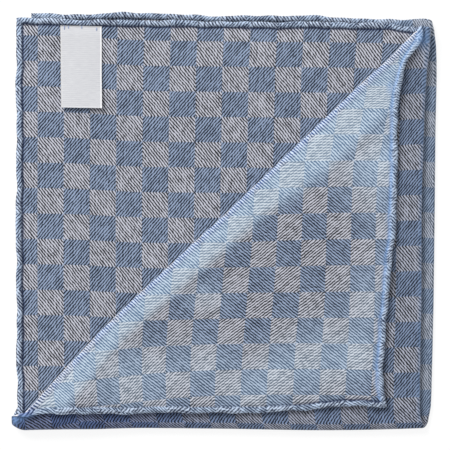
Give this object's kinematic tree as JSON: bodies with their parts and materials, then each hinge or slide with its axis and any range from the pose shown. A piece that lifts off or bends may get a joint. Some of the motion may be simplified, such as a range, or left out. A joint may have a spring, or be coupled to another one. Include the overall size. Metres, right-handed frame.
{
  "type": "folded pocket square",
  "caption": "Square of checked twill with rolled hems, folded in quarters, its top corner turned back over the diagonal, with a small blank sewn-in label.",
  "frame": {"origin": "centre of the folded square's box, on the surface that it rests on", "axes": "+Z up through the stack of layers; +X to the right and +Y up, as the square is seen from above with its label at the upper left and its turned corner's diagonal running from lower left to upper right"},
  "size_m": [0.1737, 0.1711, 0.0105],
  "materials": {
    "twill": "checkerboard of blue and pale grey checks, each a fine twill",
    "label_ribbon": "off-white satin weave, blank"
  },
  "bodies": {
    "root": {"cloth": "twill", "label": "label_ribbon"}
  },
  "joints": []
}
